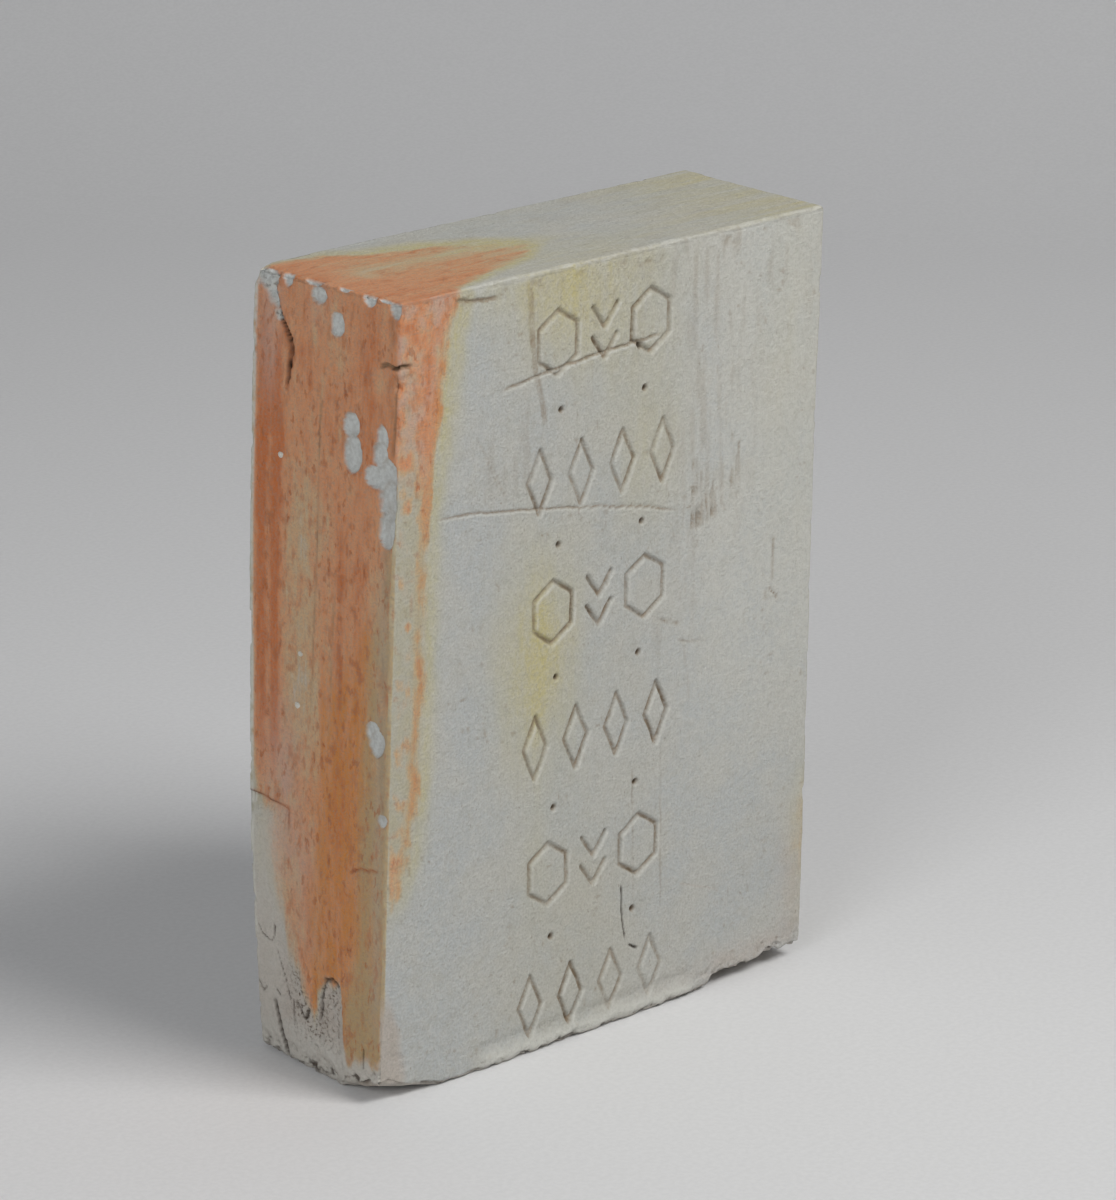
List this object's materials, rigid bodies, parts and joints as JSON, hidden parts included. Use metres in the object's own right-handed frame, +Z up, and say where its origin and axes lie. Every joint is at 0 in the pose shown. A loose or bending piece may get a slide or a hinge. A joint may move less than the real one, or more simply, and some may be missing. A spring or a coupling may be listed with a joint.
{
  "type": "fired clay bar",
  "caption": "Solid rectangular bar of fired clay standing on its end, with rows of simple stamped marks, worn edges, chips and a firing crack.",
  "frame": {"origin": "bottom centre of the bar's box, on the surface that it stands on", "axes": "+Z up along the bar's length, stamped wide face towards -Y, flame-marked narrow end face towards -X"},
  "size_m": [0.1177, 0.0388, 0.16],
  "materials": {
    "fired_clay": "matt, unglazed, pale buff with orange flame marks on the narrow end face",
    "grog": "matt, off-white grains"
  },
  "bodies": {
    "root": {"clay_body": "fired_clay", "grog_grains": "grog"}
  },
  "joints": []
}
